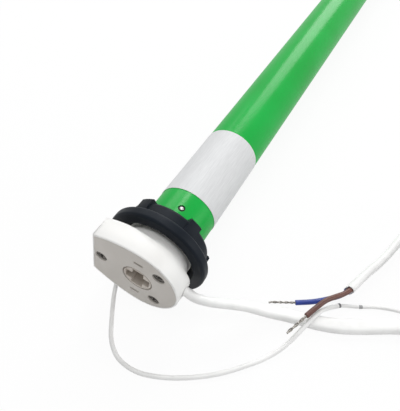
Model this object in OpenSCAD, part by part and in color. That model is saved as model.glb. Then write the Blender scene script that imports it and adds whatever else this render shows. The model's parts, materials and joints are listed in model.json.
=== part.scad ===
// Tubular roller blind motor, in millimetres.
// The tube's axis is X: x = 0 is the face of the head and +X runs to the drive wheel. +Z is up.

/* [Tube] */
// Outside diameter of the motor tube
tube_d = 25; // [23.8:0.1:26.4]
// Wall of the motor tube
tube_wall = 1; // [0.8:0.1:1.2]
// Length of the rating label
label_len = 40; // [20:1:60]
// Distance from the tube's head end to the label
label_from_end = 21.6; // [15:0.2:30]
// Thickness of the rating label
label_t = 0.12; // [0.08:0.01:0.3]
// Angle of the tube that the label wraps
label_wrap = 300; // [200:5:340]
// Diameter of a tube rivet
rivet_d = 2.3; // [1.8:0.1:2.8]
// Width of the open ring round a rivet
rivet_ring = 0.3; // [0.1:0.05:0.5]
// Distance from the head end of the tube to its rivets
rivet_from_end = 13.2; // [12.2:0.1:14.8]

/* [Head] */
// Radius of the round side of the head
head_r = 17.2; // [16.4:0.1:18.2]
// Radius of the two long sides that run to the flat
head_side_r = 40; // [34:1:60]
// Distance from the axis to the flat of the head
head_flat = 19.7; // [18.8:0.1:21]
// Thickness of the D-shaped part of the head
head_t = 8.6; // [8:0.1:10]
// Turn of the head about the axis as the motor lies
head_turn = 12; // [0:1:20]
// Bevel along the front edge of the head
head_bevel = 0.4; // [0.2:0.1:0.6]
// Width of the rim round the face plate
head_rim = 0.8; // [0.6:0.1:1.2]
// Thickness of the face plate
plate_t = 2.4; // [2.1:0.1:2.7]
// Radius of the rounded shoulder where it leaves the head
shoulder_r = 14.6; // [14:0.1:15.2]
// Length of the shoulder
shoulder_len = 6.2; // [5.8:0.1:6.6]
// Height of the shoulder's end above the tube
shoulder_rim = 0.4; // [0.2:0.1:0.8]
// Length of the spigot that the tube slides over
spigot_len = 19.2; // [17:0.2:24]
// Wall of the spigot
spigot_wall = 2.9; // [2.4:0.1:3.4]

/* [Bracket socket] */
// Diameter of the socket insert
socket_d = 12.6; // [11.6:0.1:13.4]
// Length of the socket insert
socket_len = 7.4; // [6.4:0.1:7.8]
// Width of the groove round the socket's rim
socket_groove = 0.45; // [0.2:0.05:0.6]
// Depth of that groove
socket_groove_depth = 0.8; // [0.4:0.1:1.2]
// Span of the cross-shaped recess
cross_span = 10; // [8:0.1:10.8]
// Width of an arm of the cross
cross_w = 4.6; // [4.4:0.1:5.2]
// Depth of the cross
cross_depth = 6; // [4.5:0.1:6.2]

/* [Face screws] */
// Diameter of a screw head
screw_head_d = 4.6; // [4:0.1:5]
// Height of a screw head
screw_head_h = 0.9; // [0.7:0.1:1.1]
// Depth of the pocket that a screw head sits in
screw_pocket = 1.5; // [1.2:0.1:1.7]
// Diameter of a screw's thread
screw_d = 2.4; // [2:0.1:2.6]
// Length of a screw's thread
screw_len = 5.5; // [4:0.1:5.8]
// Distance from the axis to the screw by the flat
screw_flat_s = 15.8; // [15:0.1:16]
// Distance of the other two screws behind the axis
screw_round_s = 8; // [7:0.1:8.4]
// Distance of the other two screws to each side
screw_round_q = 9; // [8.4:0.1:9.6]

/* [Crown] */
// Diameter of the crown's flange
crown_flange_d = 42; // [40:0.2:46]
// Thickness of the flange
crown_flange_t = 4.3; // [3.4:0.1:5]
// Diameter of the crown's body
crown_body_d = 34.6; // [33.8:0.2:36]
// Diameter across the keys, inside a roller tube
key_d = 36.2; // [35.6:0.1:37.4]
// Width of a key
key_w = 5.4; // [4:0.1:8]
// Number of keys round the crown and the drive wheel
key_count = 5; // [3:1:6]
// Length of the ramp that a key rises on
key_ramp = 3.5; // [2:0.1:4.5]
// Length of the crown along the axis
crown_len = 12.5; // [12:0.1:14]
// Length by which the collar stands out of the body
collar_len = 1.7; // [1.2:0.1:2.2]
// Length by which the crown reaches over the shoulder
crown_over = 2.7; // [2.2:0.1:2.9]
// Width of the open ring between the shoulder and the crown's mouth
crown_mouth = 1.8; // [1.4:0.1:2.2]
// Wall of the collar that hugs the tube
collar_wall = 1.1; // [0.9:0.1:1.8]
// Radius of the round behind the crown's body
crown_round = 1.6; // [1:0.1:3]
// Wall of the bush that the crown turns on
bush_wall = 1.4; // [1.1:0.1:1.6]
// Height of the bush's snap ring
snap_h = 0.6; // [0.4:0.1:0.8]
// Length of the bush
bush_len = 5.8; // [5:0.1:6.1]

/* [Cords] */
// Width of the flat power cord
cord_w = 6.2; // [5.6:0.1:6.4]
// Thickness of the flat power cord
cord_t = 3.4; // [3:0.1:3.5]
// Distance from the face to the middle of the cord's exit
cord_exit_x = 5.8; // [5.7:0.1:6.4]
// Turn of the cord's broad side from level at its exit
cord_exit_turn = 60; // [50:5:90]
// Wall of the cord gland
gland_wall = 0.6; // [0.4:0.1:0.8]
// Depth of the cord gland in the head
gland_len = 5; // [4:0.2:6]
// Diameter of a core's insulation
core_d = 2.1; // [1.8:0.1:2.3]
// Diameter of a bare conductor
conductor_d = 1.1; // [0.8:0.1:1.3]
// Diameter of the aerial's sleeve
aerial_d = 1.75; // [1.5:0.05:1.9]
// Diameter of the aerial's inner lead
aerial_lead_d = 1.4; // [1:0.05:1.5]
// Distance from the face to the aerial's exit
aerial_exit_x = 3.6; // [3.5:0.1:4.4]
// Distance of the aerial's exit from the axis, towards the flat
aerial_exit_s = 10; // [8:0.2:12]
// Full turns of the cord's coil
coil_turns = 4.5; // [4.5, 6.5]
// Outer radius of the coil, at the middle of the cord
coil_r = 37; // [35:0.5:39]
// Step between neighbouring turns
coil_step = 5.4; // [5.2:0.1:5.6]
// Thickness of the coil's tie
tie_t = 0.8; // [0.6:0.1:0.8]
// Width of the coil's tie
tie_w = 8; // [5:0.5:12]

/* [Boards] */
// Length of the board tray
tray_len = 192; // [180:1:240]
// Wall of the board tray
tray_wall = 1; // [0.8:0.1:1.4]
// Thickness of a board
board_t = 1.2; // [1:0.1:1.6]
// Distance from the tray's inner wall to the edge of a board, across the middle
board_inset = 1.1; // [0.9:0.1:1.9]
// Length of the supply board
supply_len = 104; // [98:1:110]
// Length of the control board
control_len = 64; // [56:1:70]
// Length of the transformer
transformer_len = 15; // [12:0.5:18]
// Diameter of a supply capacitor
capacitor_d = 8; // [6:0.2:9]
// Length of a supply capacitor
capacitor_len = 17; // [12:0.5:18]

/* [Motor] */
// Thickness of the rubber rings round the motor can
damper_t = 0.3; // [0.2:0.05:0.6]
// Length of the motor can
can_len = 62; // [58:1:80]
// Wall of the motor can
can_wall = 0.8; // [0.6:0.1:1]
// Thickness of the magnets
magnet_t = 1.9; // [1.5:0.1:2.1]
// Length of the rotor's iron core
core_len = 36; // [28:1:38]
// Gap between the rotor and the magnets
air_gap = 0.5; // [0.3:0.05:0.7]
// Diameter of the rotor shaft
shaft_d = 3; // [2.4:0.1:3.2]
// Diameter of the commutator
commutator_d = 6.4; // [5.6:0.1:7]
// Length of the end cap behind the can
end_cap_len = 3; // [2.4:0.1:5]

/* [Gearbox] */
// Thickness of the ring gear behind its pitch circle
ring_t = 1.95; // [1.6:0.05:2.3]
// Width of the planets of the first stage
planet_w_1 = 6; // [4:0.5:9]
// Width of the planets of the second stage
planet_w_2 = 7; // [5:0.5:11]
// Width of the planets of the third stage
planet_w_3 = 10; // [7:0.5:14]
// Thickness of the first carrier's plate
plate_w_1 = 3; // [2.4:0.1:4]
// Thickness of the second carrier's plate
plate_w_2 = 3.5; // [2.8:0.1:5]
// Thickness of the output shaft's plate
plate_w_3 = 5; // [4:0.1:7]
// Diameter of a planet's pin
planet_pin_d = 2; // [1.6:0.1:2.4]
// Length of the flange between the motor and the gearbox
motor_flange_len = 10; // [8:0.5:14]
// Length of the gearbox cap inside the tube
cap_len = 20; // [16:0.5:26]
// Thickness of the cap's rim over the tube's end
cap_rim = 2; // [1.4:0.1:3]

/* [Drive] */
// Diameter of the output shaft
output_d = 8; // [7:0.1:9]
// Wall of the output bush
output_bush_wall = 2; // [1.4:0.1:2.4]
// Length of the drive wheel
wheel_len = 14; // [12:0.5:20]
// Diameter of the drive wheel's hub
hub_d = 15; // [14:0.2:18]
// Wall of the drive wheel's rim
wheel_wall = 2; // [1.6:0.1:3]
// Thickness of the drive wheel's web
wheel_web = 4; // [3:0.2:6]
// Diameter of the washer under the drive screw
washer_d = 12; // [10:0.2:13.6]
// Thickness of the washer under the drive screw
washer_t = 1; // [0.8:0.1:1.4]
// Diameter of the drive screw's head
drive_head_d = 7.6; // [6.4:0.2:8.4]
// Height of the drive screw's head
drive_head_h = 2.8; // [2:0.1:3.4]
// Diameter of the drive screw's thread
drive_screw_d = 3.4; // [3:0.1:3.8]

/* [Hidden] */
$fn = 96;

// Clearances
running = 0.06;     // between a shaft or gear and what it turns in
sliding = 0.05;     // between pieces that are pushed together
axial = 0.4;        // between turning faces along the axis
crown_gap = 0.4;    // between the crown and what it turns past
snap_play = 0.3;    // between the snap ring and its groove, along the axis
label_glue = 0.03;  // between the label and the tube
screw_play = 0.2;   // round a face screw in the face plate
tie_play = 0.2;     // between the coil and its tie
overcut = 1;        // reach of a cut past the face that it opens
lap = 0.5;          // overlap of the shapes that make one piece

// Tube
tube_r = tube_d / 2;
bore_r = tube_r - tube_wall;
fit_r = bore_r - 2 * sliding;

// Places along the axis, from the face of the head to the drive end
tray_gap = 2;
encoder_gap = 1.2;
encoder_len = 3;
encoder_room = 1.6;
ring_lead = 1.5;
ring_tail = 1;
wheel_gap = 1;
planet_w = [planet_w_1, planet_w_2, planet_w_3];
plate_w = [plate_w_1, plate_w_2, plate_w_3];
shoulder_end = head_t + shoulder_len;
tube_x = shoulder_end;
spigot_end = tube_x + spigot_len;
crown_x = shoulder_end - crown_over;
crown_end = crown_x + crown_len;
label_x = tube_x + label_from_end;
tray_x = spigot_end + tray_gap;
tray_end = tray_x + tray_len;
hall_end = tray_end + board_t;
encoder_x = hall_end + encoder_gap;
end_cap_x = encoder_x + encoder_len + encoder_room;
can_x = end_cap_x + end_cap_len;
can_end = can_x + can_len;
ring_x = can_end + motor_flange_len;
stage_1_x = ring_x + ring_lead;
stage_2_x = stage_1_x + planet_w_1 + plate_w_1 + 2 * axial;
stage_3_x = stage_2_x + planet_w_2 + plate_w_2 + 2 * axial;
planet_x = [stage_1_x, stage_2_x, stage_3_x];
plate_x = planet_x + planet_w + [axial, axial, axial];
ring_end = plate_x[2] + plate_w[2] + ring_tail;
tube_end = ring_end + cap_len;
cap_end = tube_end + cap_rim;
wheel_x = cap_end + wheel_gap;
wheel_end = wheel_x + wheel_len;

// Rivets, at both ends of the tube
rivets = 3;
rivet_turn = 13;
rivet_depth = 2.4;
rivet_sunk = 0.1;
rivet_rows = [tube_x + rivet_from_end, tube_end - cap_len / 2];

// Head: s runs from the axis to the flat and q along the flat
function on_head(s, q) = [s * cos(head_turn) - q * sin(head_turn), s * sin(head_turn) + q * cos(head_turn)];
shoulder_steps = 10;
shoulder_fall = shoulder_r - tube_r - shoulder_rim;
function shoulder_r_at(x) = shoulder_r - shoulder_fall * pow((x - head_t) / shoulder_len, 2);
socket_r = socket_d / 2;
socket_sunk = 0.1;
screw_places = [[screw_flat_s, 0], [-screw_round_s, screw_round_q], [-screw_round_s, -screw_round_q]];
slot_at = [0.4, 10.4];
slot_size = [4, 1.3];
slot_depth = 1.2;
hollow_r = bore_r - spigot_wall;
hollow_from_shoulder = 1.9;
hollow_x = head_t + hollow_from_shoulder;
spigot_bevel = 1;
cord_passage_r = 1.6;
cord_passage_inset = 0.2;
cord_passage_at = hollow_r - cord_passage_inset;

// Exits of the cord and the aerial
aerial_hole = 4;
aerial_exit_q = head_side_r - head_r - sqrt(pow(head_side_r, 2) - pow(aerial_exit_s, 2));
aerial_exit = concat([aerial_exit_x], on_head(aerial_exit_s, aerial_exit_q));
aerial_way = concat([0], on_head(0, -1));
cord_way = concat([0], on_head(-1, 0));
cord_exit_at = [cord_exit_x, 0, 0] + head_r * cord_way;

// Crown
flange_r = crown_flange_d / 2;
crown_body_r = crown_body_d / 2;
key_r = key_d / 2;
collar_r = tube_r + collar_wall;
bush_r = tube_r + bush_wall;
bush_x = tube_x + crown_gap;
bush_end = bush_x + bush_len;
snap_len = 1;
flange_round = 1.2;
collar_bevel = 0.4;
key_turn = 60;
key_from_end = 0.7;
key_bevel = 0.6;
key_root = 1;

// Boards and what stands on them
board_z = -1.2;
board_w = 2 * (fit_r - tray_wall - board_inset);
board_top = board_z + board_t;
board_gap = 3;
rail_w = 2;
tray_end_wall = 2;
supply_x = tray_x + board_gap;
control_x = tray_end - tray_end_wall - board_gap - control_len;
capacitor_from_end = 4;
capacitor_gap = 6;
transformer_from_end = 34;
first_capacitor_x = supply_x + capacitor_from_end;
transformer_x = supply_x + transformer_from_end;
transformer_w = 12;
transformer_h = 7.4;
bobbin_h = 2;
bobbin_rim = 1;
second_capacitor_x = transformer_x + transformer_len + capacitor_gap;
capacitor_groove_x = 1.6;
capacitor_groove_r = 0.6;
capacitor_groove_out = 0.2;
chip_gap = 4;
power_chip = [6, 8, 4];
power_chips = 3;
power_chip_pitch = 8;
power_chip_x = second_capacitor_x + capacitor_len + board_gap;
control_chip = [12, 10, 1.6];
control_chip_x = control_x + chip_gap;
radio_chip = [8, 8, 1.2];
radio_chip_x = control_chip_x + control_chip[0] + chip_gap;
relay_chip = [4, 6, 2];
relay_chips = 4;
relay_chip_pitch = 7;
relay_chip_x = radio_chip_x + radio_chip[0] + chip_gap;

// Motor
can_r = bore_r - damper_t - 2 * sliding;
can_bore = can_r - can_wall;
can_front = 1.2;
shaft_r = shaft_d / 2;
rotor_r = can_bore - sliding - magnet_t - air_gap;
poles = 5;
pole_web = 2;
pole_tip = 1.2;
pole_hub_wall = 1.6;
pole_hub_r = shaft_r + pole_hub_wall;
pole_slot = 1.4;
winding_end = 2.6;
winding_half_angle = 28;
magnet_over = 2;
magnet_half_angle = 64;
encoder_r = 4;
hall_inset = 2;
terminal_r = 1.2;
terminal_at = fit_r - 2 * hall_inset;
motor_bush_wall = 1.6;
motor_bush_r = shaft_r + motor_bush_wall;
motor_bush_len = 4;
commutator_inset = 4.2;
commutator_x = can_x + commutator_inset;
commutator_len = 5.5;
commutator_gap = 0.7;
rotor_x = commutator_x + commutator_len + commutator_gap + winding_end;
commutator_r = commutator_d / 2;
commutator_slot = 0.4;
brush_w = 2.4;
brush_len = 5;
brush_out = 3;
brush_holder = [4.4, 4.8];
end_cap_depth = 4;
damper_len = 8;
damper_inset = 5;

// Gears: each planet meshes with its sun and with the ring
sun_teeth = 12;
planet_teeth = 15;
ring_teeth = sun_teeth + 2 * planet_teeth;
gear_module = 2 * (fit_r - ring_t) / ring_teeth;
planets = 3;
pressure_angle = 25;
addendum = 0.8 * gear_module;
dedendum = 1.05 * gear_module;
tooth_play = 0.08;
tooth_w = PI * gear_module / 2;
planet_orbit = gear_module * (sun_teeth + planet_teeth) / 2;
ring_tip_r = gear_module * ring_teeth / 2 - addendum;
carrier_r = ring_tip_r - axial;
pin_r = planet_pin_d / 2;
pinion_gap = 3;
pinion_x = can_end + pinion_gap;
pinion_room = 1.2;

// Drive end
output_r = output_d / 2;
output_bush_r = output_r + running + output_bush_wall;
hex_r = output_r - sliding;
output_sunk = 0.4;
output_end = wheel_end - output_sunk;
drive_hole_len = 12;
drive_hole_x = output_end - drive_hole_len;
drive_screw_room = 2;
drive_screw_x = drive_hole_x + drive_screw_room;
wheel_bevel = 1.5;
wheel_spoke = 2.4;
wheel_key_from_end = 1;
drive_cross = [4, 0.9];
drive_cross_depth = 1.6;
drive_head_bevel = 1;
face_cross = [2.6, 0.6];
face_cross_depth = 0.5;

// Cords: the floor is the plane that the crown's flange lies on
floor_z = -flange_r;
coil_mid = [79, -128];
coil_lift = 1;
coil_layer_gap = 0.8;
coil_layer = cord_w + coil_layer_gap;
coil_rings = 24;
coil_z = floor_z + coil_lift + cord_w / 2;
edge_up = 90;

// Route points of the cords: x, y, z
lead_route = [
    [5.6, -21, -4.5], [6.8, -25, -5.4], [9, -28.5, -7.2], [12.2, -32.3, -10], [15.6, -36.5, -13],
    [18.4, -41, -15.8], [20.8, -46, -17.9], [22.8, -51, -18.8], [24.4, -57, -19.1], [25.8, -63, -19.2],
    [28.4, -70.5, -19.2], [33, -79.5, -19.2], [38.4, -90, -18.6], [41.4, -100, -18], [42.2, -110, -17.2]
];
// Turn of the lead's broad side from level at each point of its route
lead_turn = [57, 54, 50, 45, 40, 34, 27, 20, 13, 8, 3, 0, 10, 38, 70];
tail_route = [
    [115, -110, -10.8], [110.5, -100, -12.4], [101.4, -91, -14.6], [90.2, -85, -16.5],
    [79, -81.8, -17.6], [63.5, -77, -17.8], [54.7, -72.8, -17.8], [44.8, -69.8, -17.8]
];
tail_turn = [90, 90, 90, 90, 92, 97, 103, 108];
brown_route = [
    [41.6, -68.6, -16.4], [38, -66, -15.5], [34, -63.2, -14.5], [28.4, -60.6, -14.1], [24, -58.7, -14.3]
];
brown_bare_route = [[24, -58.7, -14.3], [19, -56.7, -14.9], [14.6, -54.7, -15.8]];
blue_route = [[42, -67.6, -19.4], [38.6, -64.2, -19.6], [33.8, -58.5, -19.6], [30.2, -53, -19.4]];
blue_bare_route = [[30.2, -53, -19.4], [27.5, -48.4, -18.9], [24.6, -43.6, -18.2]];
aerial_route = [
    [3.2, 13.6, -15.4], [1.4, 13.4, -17.4], [-1.6, 12.4, -19.2], [-5.4, 10.4, -20], [-9, 8.2, -20],
    [-12.4, 6, -20], [-16.2, 3.4, -20], [-19.6, 0, -20], [-22, -4, -20], [-23, -8.6, -20],
    [-22.8, -14, -20], [-21, -20, -20], [-17.8, -26.8, -20], [-13.8, -33.2, -20], [-9, -39.4, -20],
    [-3, -45.4, -20], [3, -50.6, -20], [8.4, -54.2, -19.8], [13, -56.6, -18.8], [17.4, -58.4, -17.2],
    [22, -60, -16.3], [26.4, -61.4, -16.2], [29.8, -62.8, -16.7], [33, -64.6, -18.2], [35.6, -66.4, -19.6],
    [37.6, -68.4, -20]
];
aerial_lead_route = [
    [37.6, -68.4, -20], [41.2, -76, -20.2], [44, -81.4, -20.2], [46.4, -88.8, -20.2], [47.4, -94, -20.2]
];

// The cores leave the end of the tail side by side, across its broad side
tail_end = tail_route[len(tail_route) - 1];
tail_way = last_way(tail_route);
tail_lean = tail_turn[len(tail_turn) - 1];
tail_level = unit(cross(tail_way, [0, 0, 1]));
tail_broad = cos(tail_lean) * tail_level + sin(tail_lean) * cross(tail_level, tail_way);
core_side = tail_broad * (cord_w - cord_t) / 2;

// The coil: in along the lower layer and out along the upper one, climbing in the half turn between
coil_steps = coil_turns * coil_rings;
function coil_r_at(turn) = coil_r - coil_step * (coil_turns / 2 - abs(turn - coil_turns / 2));
function coil_climb(turn) =
    let (u = max(0, min(1, (turn - coil_turns / 2) * 2 + 0.5)))
    u * u * (3 - 2 * u);
function coil_at(turn) =
    let (a = 180 + 360 * turn, flat = coil_mid + coil_r_at(turn) * [cos(a), sin(a)])
    concat(flat, [coil_z + coil_layer * coil_climb(turn)]);
coil_start = coil_at(0) + [0, cord_w, 0];
coil_finish = coil_at(coil_turns) + [0, cord_w, 0];
coil_route = concat([coil_start], [for (i = [0:coil_steps]) coil_at(i / coil_rings)], [coil_finish]);
coil_profile = [
    [cord_w / 2, 0], [cord_w / 4, cord_t / 2], [-cord_w / 4, cord_t / 2],
    [-cord_w / 2, 0], [-cord_w / 4, -cord_t / 2], [cord_w / 4, -cord_t / 2]
];
coil_tube = rings_along(coil_route, coil_profile, [for (p = coil_route) edge_up], [0, -1, 0], [0, 1, 0]);

// Least gap between turns, measured between the points of rings half a loop or more apart
coil_last = len(coil_route) - 1;
half_loop = coil_rings / 2;
function gap_between(i, j) = min([for (a = coil_tube[i]) for (b = coil_tube[j]) norm(a - b)]);
function coil_gap() = min([
    for (i = [0:coil_last - half_loop]) for (j = [i + half_loop:coil_last])
        if (norm(coil_route[i] - coil_route[j]) < 2 * cord_w) gap_between(i, j)
]);

// Turns the XY plane to face along the axis: local x, y, z become Y, Z, X
module along_axis(x) {
    translate([x, 0, 0]) rotate([90, 0, 90]) children();
}

// Round bar along the axis from x0 to x1
module bar(x0, x1, r) {
    along_axis(x0) cylinder(r = r, h = x1 - x0);
}

// Hollow bar along the axis
module sleeve(x0, x1, r_out, r_in) {
    difference() {
        bar(x0, x1, r_out);
        bar(x0 - overcut, x1 + overcut, r_in);
    }
}

// Solid of revolution about the axis, from points of x and radius
module turned(profile) {
    rotate([90, 0, 90]) rotate_extrude() polygon([for (p = profile) [p[1], p[0]]]);
}

// Copies its children round the axis
module round_axis(count, first = 0) {
    for (k = [0:count - 1]) rotate([first + k * 360 / count, 0, 0]) children();
}

// Copies its flat children round the origin
module round_flat(count, first = 0) {
    for (k = [0:count - 1]) rotate(first + k * 360 / count) children();
}

// Points of an arc about a centre
function arc(mid, r, from, to, steps = 8) =
    [for (i = [0:steps]) let (a = from + (to - from) * i / steps) mid + r * [cos(a), sin(a)]];

// Flat wedge about local x, as far as reach
module wedge(half_angle, reach) {
    edge = reach * [cos(half_angle), sin(half_angle)];
    polygon([[0, 0], [edge[0], -edge[1]], [reach, 0], edge]);
}

// Flat cross of two bars: span and width
module cross_shape(size) {
    square(size, center = true);
    rotate(90) square(size, center = true);
}

// Disc with a bevelled lower edge
module bevelled_disc(r, h, bevel) {
    rotate_extrude() polygon([[0, 0], [r - bevel, 0], [r, bevel], [r, h], [0, h]]);
}

// D-shaped slab of the head: a round side, two long arcs and a flat, each set in by inset
module head_slab(h, inset, bevel) {
    reach = 2 * head_r;
    flat = head_flat - inset;
    rotate([0, 0, head_turn]) union() {
        bevelled_disc(head_r - inset, h, bevel);
        intersection() {
            translate([0, head_r - head_side_r, 0]) bevelled_disc(head_side_r - inset, h, bevel);
            translate([0, head_side_r - head_r, 0]) bevelled_disc(head_side_r - inset, h, bevel);
            translate([0, reach, 0]) rotate([90, 0, 0]) linear_extrude(2 * reach)
                polygon([[0, 0], [flat - bevel, 0], [flat, bevel], [flat, h], [0, h]]);
        }
    }
}

// Puts its children at a place on the head's face, local z inwards
module on_face(place, x) {
    along_axis(x) rotate([0, 0, head_turn]) translate(place) children();
}

// Puts its children at the cord's exit, local z inwards and local x along the cord's broad side
module at_cord_exit() {
    translate([cord_exit_x, 0, 0]) rotate([head_turn, 0, 0]) translate([0, -head_r, 0])
        rotate([0, -cord_exit_turn, 0]) rotate([-90, 0, 0]) children();
}

// Bar of a flat profile with round ends
module slot_bar(size, length) {
    linear_extrude(length) {
        square([size[0] - size[1], size[1]], center = true);
        for (side = [-1, 1]) translate([side * (size[0] - size[1]) / 2, 0]) circle(d = size[1]);
    }
}

// Cut along the cord's exit, wider than the cord by margin on each side
module cord_cut(margin, depth) {
    at_cord_exit() translate([0, 0, -overcut])
        slot_bar([cord_w + 2 * margin, cord_t + 2 * margin], depth + overcut);
}

// Radial holes for the rivets, one row at each x
module rivet_holes(rows, d) {
    for (x = rows) round_axis(rivets, rivet_turn) translate([x, 0, 0]) cylinder(d = d, h = tube_r + overcut);
}

module head_housing() {
    color("whitesmoke") difference() {
        union() {
            along_axis(0) head_slab(head_t, 0, head_bevel);
            turned(concat(
                [[head_t - lap, 0], [head_t - lap, shoulder_r]],
                [for (i = [0:shoulder_steps]) let (x = head_t + shoulder_len * i / shoulder_steps)
                    [x, shoulder_r_at(x)]],
                [[shoulder_end, fit_r], [spigot_end - spigot_bevel, fit_r]],
                [[spigot_end, fit_r - spigot_bevel], [spigot_end, 0]]
            ));
        }
        along_axis(-overcut) head_slab(plate_t + overcut, head_rim, 0);
        bar(plate_t - overcut, socket_len + sliding, socket_r + sliding);
        bar(hollow_x, spigot_end + overcut, hollow_r);
        for (place = screw_places) on_face(place, plate_t - overcut)
            cylinder(d = screw_d + 2 * sliding, h = screw_len + overcut);
        cord_cut(gland_wall, gland_len);
        cord_cut(0, head_r - cord_passage_at + cord_passage_r);
        on_face([-cord_passage_at, 0], cord_exit_x)
            cylinder(r = cord_passage_r, h = hollow_x - cord_exit_x + overcut);
        translate(aerial_exit) rotate([head_turn, 0, 0]) translate([0, 0, -overcut])
            cylinder(d = aerial_d + 2 * sliding, h = aerial_hole + overcut);
        rivet_holes([rivet_rows[0]], rivet_d + 2 * sliding);
    }
}

module face_plate() {
    color("gainsboro") difference() {
        along_axis(0) head_slab(plate_t, head_rim + sliding, 0);
        bar(-overcut, plate_t + overcut, socket_r + sliding);
        for (place = screw_places) on_face(place, -overcut) {
            cylinder(d = screw_head_d + 2 * screw_play, h = screw_pocket + overcut);
            cylinder(d = screw_d + 2 * screw_play, h = plate_t + 2 * overcut);
        }
        for (side = [-1, 1]) on_face([slot_at[0], side * slot_at[1]], -overcut)
            slot_bar(slot_size, slot_depth + overcut);
    }
}

module bracket_socket() {
    color("silver") difference() {
        union() {
            bar(socket_sunk, socket_len, socket_r - socket_groove);
            bar(socket_sunk + socket_groove_depth, socket_len, socket_r);
        }
        on_face([0, 0], -overcut) linear_extrude(cross_depth + overcut) cross_shape([cross_span, cross_w]);
    }
}

module face_screws() {
    thread = plate_t - screw_pocket + screw_len - 2 * screw_play;
    color("gray") for (place = screw_places) on_face(place, screw_pocket) difference() {
        union() {
            translate([0, 0, -screw_head_h]) cylinder(d = screw_head_d, h = screw_head_h);
            cylinder(d = screw_d, h = thread);
        }
        translate([0, 0, -screw_head_h - overcut]) linear_extrude(face_cross_depth + overcut)
            cross_shape(face_cross);
    }
}

module cord_gland() {
    outer = 2 * (gland_wall - sliding);
    color("white") difference() {
        at_cord_exit() slot_bar([cord_w + outer, cord_t + outer], gland_len - sliding);
        cord_cut(-gland_wall, gland_len);
    }
}

// Ring of keys round the axis, cut from a turned profile
module keys(profile) {
    intersection() {
        turned(profile);
        round_axis(key_count, key_turn - 90) translate([0, -key_w / 2, 0])
            cube([2 * wheel_end, key_w, 2 * key_r]);
    }
}

module crown() {
    bore = bush_r + running;
    groove = bore + snap_h;
    groove_x = bush_end - snap_len - snap_play;
    groove_end = bush_end + snap_play;
    lip = tube_r + crown_gap / 2;
    flange_end = crown_x + crown_flange_t;
    flange_mid_r = flange_r - flange_round;
    body_end = crown_end - collar_len;
    body_round = min(crown_round, crown_body_r - collar_r);
    body_mid_r = crown_body_r - body_round;
    key_end = crown_end - key_from_end;
    key_foot = collar_r - lap;
    color([0.1, 0.12, 0.16]) union() {
        turned(concat(
            [[crown_x, shoulder_r + crown_mouth]],
            arc([crown_x + flange_round, flange_mid_r], flange_round, 180, 90, 5),
            arc([flange_end - flange_round, flange_mid_r], flange_round, 90, 0, 5),
            [[flange_end, crown_body_r]],
            arc([body_end - body_round, body_mid_r], body_round, 90, 0, 5),
            [[body_end, collar_r], [crown_end - collar_bevel, collar_r]],
            [[crown_end, collar_r - collar_bevel]],
            [[crown_end, lip], [groove_end, lip], [groove_end, groove]],
            [[groove_x, groove], [groove_x, bore]],
            [[shoulder_end + crown_gap, bore]]
        ));
        keys([
            [flange_end - lap, crown_body_r - key_root], [flange_end - lap, crown_body_r],
            [flange_end + key_ramp, key_r], [key_end - key_bevel, key_r],
            [key_end, key_r - key_bevel], [key_end, key_foot],
            [body_end - lap, key_foot], [body_end - lap, body_mid_r - lap]
        ]);
    }
}

module crown_bush() {
    bore = tube_r + sliding;
    color("ivory") turned([
        [bush_x, bore], [bush_x, bush_r], [bush_end - snap_len, bush_r],
        [bush_end - snap_len, bush_r + snap_h], [bush_end - snap_len / 2, bush_r + snap_h],
        [bush_end, bush_r], [bush_end, bore]
    ]);
}

module motor_tube() {
    color("seagreen") difference() {
        sleeve(tube_x, tube_end, tube_r, bore_r);
        rivet_holes(rivet_rows, rivet_d + 2 * rivet_ring);
    }
}

// The label leaves a strip open below
module rating_label() {
    inner = tube_r + label_glue;
    color("lightgray") difference() {
        sleeve(label_x, label_x + label_len, inner + label_t, inner);
        along_axis(label_x - overcut) linear_extrude(label_len + 2 * overcut)
            rotate(-90) wedge(180 - label_wrap / 2, 2 * tube_d);
    }
}

module tube_rivets() {
    color("silver") for (x = rivet_rows) round_axis(rivets, rivet_turn)
        translate([x, 0, tube_r - rivet_depth]) cylinder(d = rivet_d, h = rivet_depth - rivet_sunk);
}

// Half shell with an end wall and two rails that the boards lie on
module board_tray() {
    open_len = tray_len - tray_end_wall;
    rail_y = (board_w - rail_w) / 2;
    color("dimgray") union() {
        difference() {
            sleeve(tray_x, tray_end, fit_r, fit_r - tray_wall);
            translate([tray_x - overcut, -tube_d, 0]) cube([open_len + overcut, 2 * tube_d, tube_d]);
        }
        sleeve(tray_end - tray_end_wall, tray_end, fit_r, motor_bush_r + overcut);
        intersection() {
            bar(tray_x, tray_end, fit_r - tray_wall / 2);
            for (side = [-1, 1]) translate([tray_x, side * rail_y - rail_w / 2, -fit_r])
                cube([tray_len, rail_w, fit_r + board_z]);
        }
    }
}

module board(x, length) {
    translate([x, -board_w / 2, board_z]) cube([length, board_w, board_t]);
}

module supply_board() {
    color("darkgreen") board(supply_x, supply_len);
}

module control_board() {
    color("green") board(control_x, control_len);
}

module transformer() {
    color("goldenrod") translate([transformer_x, -transformer_w / 2, board_top]) union() {
        cube([transformer_len, transformer_w, bobbin_h]);
        translate([0, bobbin_rim, 0]) cube([transformer_len, transformer_w - 2 * bobbin_rim, transformer_h]);
    }
}

module capacitors() {
    r = capacitor_d / 2;
    color("midnightblue") for (x = [first_capacitor_x, second_capacitor_x])
        translate([x, 0, board_top + r]) rotate([0, 90, 0]) difference() {
            cylinder(r = r, h = capacitor_len);
            translate([0, 0, capacitor_groove_x]) rotate_extrude()
                translate([r + capacitor_groove_out, 0]) circle(r = capacitor_groove_r, $fn = 24);
        }
}

// Row of equal chips along a board
module chips(size, first_x, count = 1, pitch = 0) {
    for (i = [0:count - 1]) translate([first_x + i * pitch, -size[1] / 2, board_top]) cube(size);
}

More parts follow.
